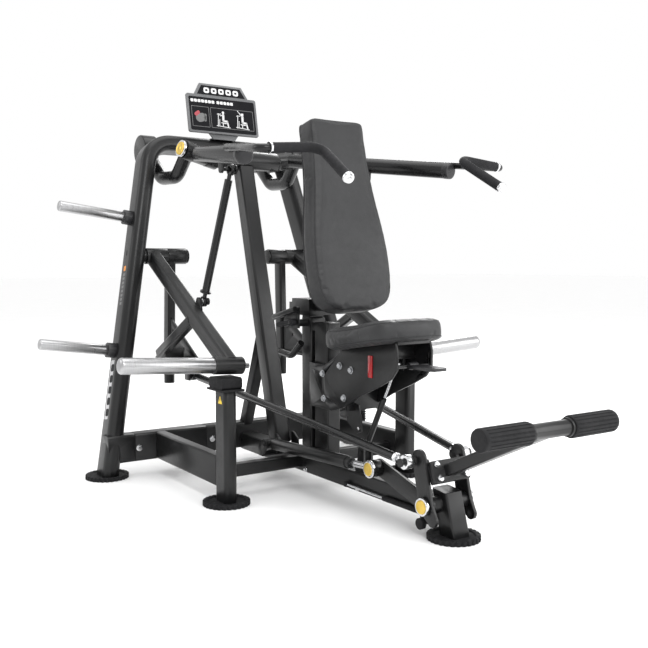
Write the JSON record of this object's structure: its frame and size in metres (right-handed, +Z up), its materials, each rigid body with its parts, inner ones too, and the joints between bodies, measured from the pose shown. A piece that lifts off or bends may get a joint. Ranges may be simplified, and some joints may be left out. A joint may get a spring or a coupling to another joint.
{
  "type": "shoulder press machine",
  "caption": "Plate-loaded shoulder press bench with converging overhead arms, adjustable seat and backrest, plate storage horns and a foot lever that lifts the loaded arms",
  "frame": {"origin": "centre of the footprint on the floor", "axes": "+X to the left of a seated user, +Y to the rear where the sign stands, +Z up"},
  "size_m": [1.529, 1.967, 1.4615],
  "materials": {
    "bright_steel": "brushed, clear",
    "cap_yellow": "gloss",
    "chrome": "polished",
    "dark_plastic": "matte",
    "frame_paint": "semi-gloss powder coat",
    "leather": "smooth grain",
    "rubber": "matte, ribbed",
    "sign_grey": "satin",
    "signal_red": "gloss"
  },
  "bodies": {
    "frame": {"foot_discs": "rubber", "main_beam": "frame_paint", "rear_crossbeam": "frame_paint", "side_rails": "frame_paint", "cross_struts": "frame_paint", "side_posts": "frame_paint", "post_saddles": "rubber", "front_post": "frame_paint", "upright_right": "frame_paint", "upright_left": "frame_paint", "storage_horns": "bright_steel", "horn_collars": "dark_plastic", "centre_upright": "frame_paint", "press_cross_tube": "frame_paint", "rear_brace": "frame_paint", "pivot_shafts": "chrome", "bearing_rings": "chrome", "bearing_caps": "cap_yellow", "frame_bolts": "chrome", "lever_stop_buffers": "rubber", "sign_panel": "sign_grey", "sign_bracket": "sign_grey", "seat_column": "frame_paint"},
    "foot_lever": {"foot_lever_plates": "frame_paint", "foot_bar_stem": "frame_paint", "flange_bolts": "chrome", "damper_pin_cap": "cap_yellow"},
    "roller_right": {"foot_roller_right": "rubber"},
    "roller_left": {"foot_roller_left": "rubber"},
    "damper_barrel": {"damper_body": "frame_paint"},
    "damper_piston": {"damper_rod": "chrome"},
    "seat": {"seat_carriage": "frame_paint", "seat_side_plates": "frame_paint", "seat_bolts": "chrome", "seat_indicator": "signal_red", "seat_pad": "leather"},
    "seat_release": {"seat_lever": "dark_plastic"},
    "gas_barrel": {"gas_spring_cylinder": "frame_paint"},
    "gas_piston": {"gas_spring_rod": "chrome"},
    "backrest": {"backrest_pad": "leather", "backrest_frame": "frame_paint"},
    "adjuster": {"adjuster_lever": "dark_plastic"},
    "foot_link_right": {"foot_rod_right": "frame_paint"},
    "lift_right": {"lift_lever_right": "frame_paint"},
    "weight_right": {"weight_arm_right": "frame_paint", "loading_horn_right": "bright_steel"},
    "ball_right": {"link_ball_right": "chrome"},
    "link_right": {"link_rod_right": "frame_paint"},
    "bush_right": {"press_bush_right": "chrome"},
    "press_right": {"press_arm_right": "frame_paint", "press_handle_right": "frame_paint"},
    "foot_link_left": {"foot_rod_left": "frame_paint"},
    "lift_left": {"lift_lever_left": "frame_paint"},
    "weight_left": {"weight_arm_left": "frame_paint", "loading_horn_left": "bright_steel"},
    "ball_left": {"link_ball_left": "chrome"},
    "link_left": {"link_rod_left": "frame_paint"},
    "bush_left": {"press_bush_left": "chrome"},
    "press_left": {"press_arm_left": "frame_paint", "press_handle_left": "frame_paint"}
  },
  "joints": [
    {"name": "foot_lever_hinge", "type": "hinge", "parent": "frame", "child": "foot_lever", "pos_m": [0, -0.58849, 0.094], "axis": [1, 0, 0], "range_deg": [0, 26]},
    {"name": "roller_right_spin", "type": "hinge", "parent": "foot_lever", "child": "roller_right", "pos_m": [-0.15, -0.95449, 0.357], "axis": [1, 0, 0], "continuous": true},
    {"name": "roller_left_spin", "type": "hinge", "parent": "foot_lever", "child": "roller_left", "pos_m": [0.15, -0.95449, 0.357], "axis": [1, 0, 0], "continuous": true},
    {"name": "damper_swing", "type": "hinge", "parent": "frame", "child": "damper_barrel", "pos_m": [-0.084, 0.22751, 0.128], "axis": [1, 0, 0], "range_deg": [-7.91, 0]},
    {"name": "damper_stroke", "type": "slide", "parent": "damper_barrel", "child": "damper_piston", "axis": [0, -0.9987, 0.0501], "range_m": [0, 0.0564]},
    {"name": "foot_link_right_hinge", "type": "hinge", "parent": "foot_lever", "child": "foot_link_right", "pos_m": [-0.103, -0.54248, 0.213], "axis": [1, 0, 0], "range_deg": [-24.62, 0]},
    {"name": "lift_right_hinge", "type": "hinge", "parent": "frame", "child": "lift_right", "pos_m": [-0.223, 0.70752, 0.785], "axis": [-1, 0, 0], "range_deg": [0, 8.4]},
    {"name": "weight_right_hinge", "type": "hinge", "parent": "lift_right", "child": "weight_right", "pos_m": [-0.304, 0.70752, 0.785], "axis": [-1, 0, 0], "range_deg": [0, 28]},
    {"name": "link_ball_right_hinge", "type": "hinge", "parent": "weight_right", "child": "ball_right", "pos_m": [-0.296, 0.31751, 0.628], "axis": [0.9642, 0.265, 0.0099], "range_deg": [0, 7.47]},
    {"name": "link_rod_right_hinge", "type": "hinge", "parent": "ball_right", "child": "link_right", "pos_m": [-0.296, 0.31751, 0.628], "axis": [0.9642, 0.265, 0.0099], "range_deg": [0, 24.93]},
    {"name": "press_bush_right_hinge", "type": "hinge", "parent": "frame", "child": "bush_right", "pos_m": [-0.151, 0.57551, 1.149], "axis": [-0.9687, -0.1172, 0.2187], "range_deg": [0, 9.15]},
    {"name": "press_arm_right_hinge", "type": "hinge", "parent": "bush_right", "child": "press_right", "pos_m": [-0.151, 0.57551, 1.149], "axis": [-0.9687, -0.1172, 0.2187], "range_deg": [0, 30.56]},
    {"name": "foot_link_left_hinge", "type": "hinge", "parent": "foot_lever", "child": "foot_link_left", "pos_m": [0.103, -0.54248, 0.213], "axis": [1, 0, 0], "range_deg": [-24.62, 0]},
    {"name": "lift_left_hinge", "type": "hinge", "parent": "frame", "child": "lift_left", "pos_m": [0.223, 0.70752, 0.785], "axis": [-1, 0, 0], "range_deg": [0, 8.4]},
    {"name": "weight_left_hinge", "type": "hinge", "parent": "lift_left", "child": "weight_left", "pos_m": [0.304, 0.70752, 0.785], "axis": [-1, 0, 0], "range_deg": [0, 28]},
    {"name": "link_ball_left_hinge", "type": "hinge", "parent": "weight_left", "child": "ball_left", "pos_m": [0.296, 0.31751, 0.628], "axis": [0.9642, -0.265, -0.0099], "range_deg": [0, 7.47]},
    {"name": "link_rod_left_hinge", "type": "hinge", "parent": "ball_left", "child": "link_left", "pos_m": [0.296, 0.31751, 0.628], "axis": [0.9642, -0.265, -0.0099], "range_deg": [0, 24.93]},
    {"name": "press_bush_left_hinge", "type": "hinge", "parent": "frame", "child": "bush_left", "pos_m": [0.151, 0.57551, 1.149], "axis": [-0.9687, 0.1172, -0.2187], "range_deg": [0, 9.15]},
    {"name": "press_arm_left_hinge", "type": "hinge", "parent": "bush_left", "child": "press_left", "pos_m": [0.151, 0.57551, 1.149], "axis": [-0.9687, 0.1172, -0.2187], "range_deg": [0, 30.56]},
    {"name": "seat_height", "type": "slide", "parent": "frame", "child": "seat", "axis": [0, 0, 1], "range_m": [-0.08, 0.02]},
    {"name": "seat_release_hinge", "type": "hinge", "parent": "seat", "child": "seat_release", "pos_m": [0, -0.44049, 0.462], "axis": [-1, 0, 0], "range_deg": [0, 9], "stiffness_Nm_per_rad": 6},
    {"name": "gas_spring_swing", "type": "hinge", "parent": "frame", "child": "gas_barrel", "pos_m": [0, -0.21449, 0.176], "axis": [1, 0, 0], "range_deg": [-2.08, 8.14]},
    {"name": "gas_spring_stroke", "type": "slide", "parent": "gas_barrel", "child": "gas_piston", "axis": [0, -0.4745, 0.8803], "range_m": [-0.0686, 0.0175]},
    {"name": "backrest_reach", "type": "slide", "parent": "frame", "child": "backrest", "axis": [0, 1, 0], "range_m": [-0.04, 0.02]},
    {"name": "adjuster_hinge", "type": "hinge", "parent": "frame", "child": "adjuster", "pos_m": [-0.113, 0.03751, 0.566], "axis": [1, 0, 0], "range_deg": [0, 7], "stiffness_Nm_per_rad": 3}
  ],
  "couplings": [
    {"joint": "damper_swing", "follows": "foot_lever_hinge", "ratio": -0.302},
    {"joint": "damper_stroke", "follows": "foot_lever_hinge", "m_per_rad": 0.1232},
    {"joint": "foot_link_right_hinge", "follows": "foot_lever_hinge", "ratio": -0.94466},
    {"joint": "lift_right_hinge", "follows": "foot_lever_hinge", "ratio": 0.32079},
    {"joint": "link_ball_right_hinge", "follows": "foot_lever_hinge", "ratio": 0.28487},
    {"joint": "link_rod_right_hinge", "follows": "weight_right_hinge", "ratio": 0.88803},
    {"joint": "press_bush_right_hinge", "follows": "foot_lever_hinge", "ratio": 0.34947},
    {"joint": "press_arm_right_hinge", "follows": "weight_right_hinge", "ratio": 1.0894},
    {"joint": "foot_link_left_hinge", "follows": "foot_lever_hinge", "ratio": -0.94466},
    {"joint": "lift_left_hinge", "follows": "foot_lever_hinge", "ratio": 0.32079},
    {"joint": "link_ball_left_hinge", "follows": "foot_lever_hinge", "ratio": 0.28487},
    {"joint": "link_rod_left_hinge", "follows": "weight_left_hinge", "ratio": 0.88803},
    {"joint": "press_bush_left_hinge", "follows": "foot_lever_hinge", "ratio": 0.34947},
    {"joint": "press_arm_left_hinge", "follows": "weight_left_hinge", "ratio": 1.0894},
    {"joint": "gas_spring_swing", "follows": "seat_height", "rad_per_m": -1.762},
    {"joint": "gas_spring_stroke", "follows": "seat_height", "ratio": 0.8513}
  ]
}
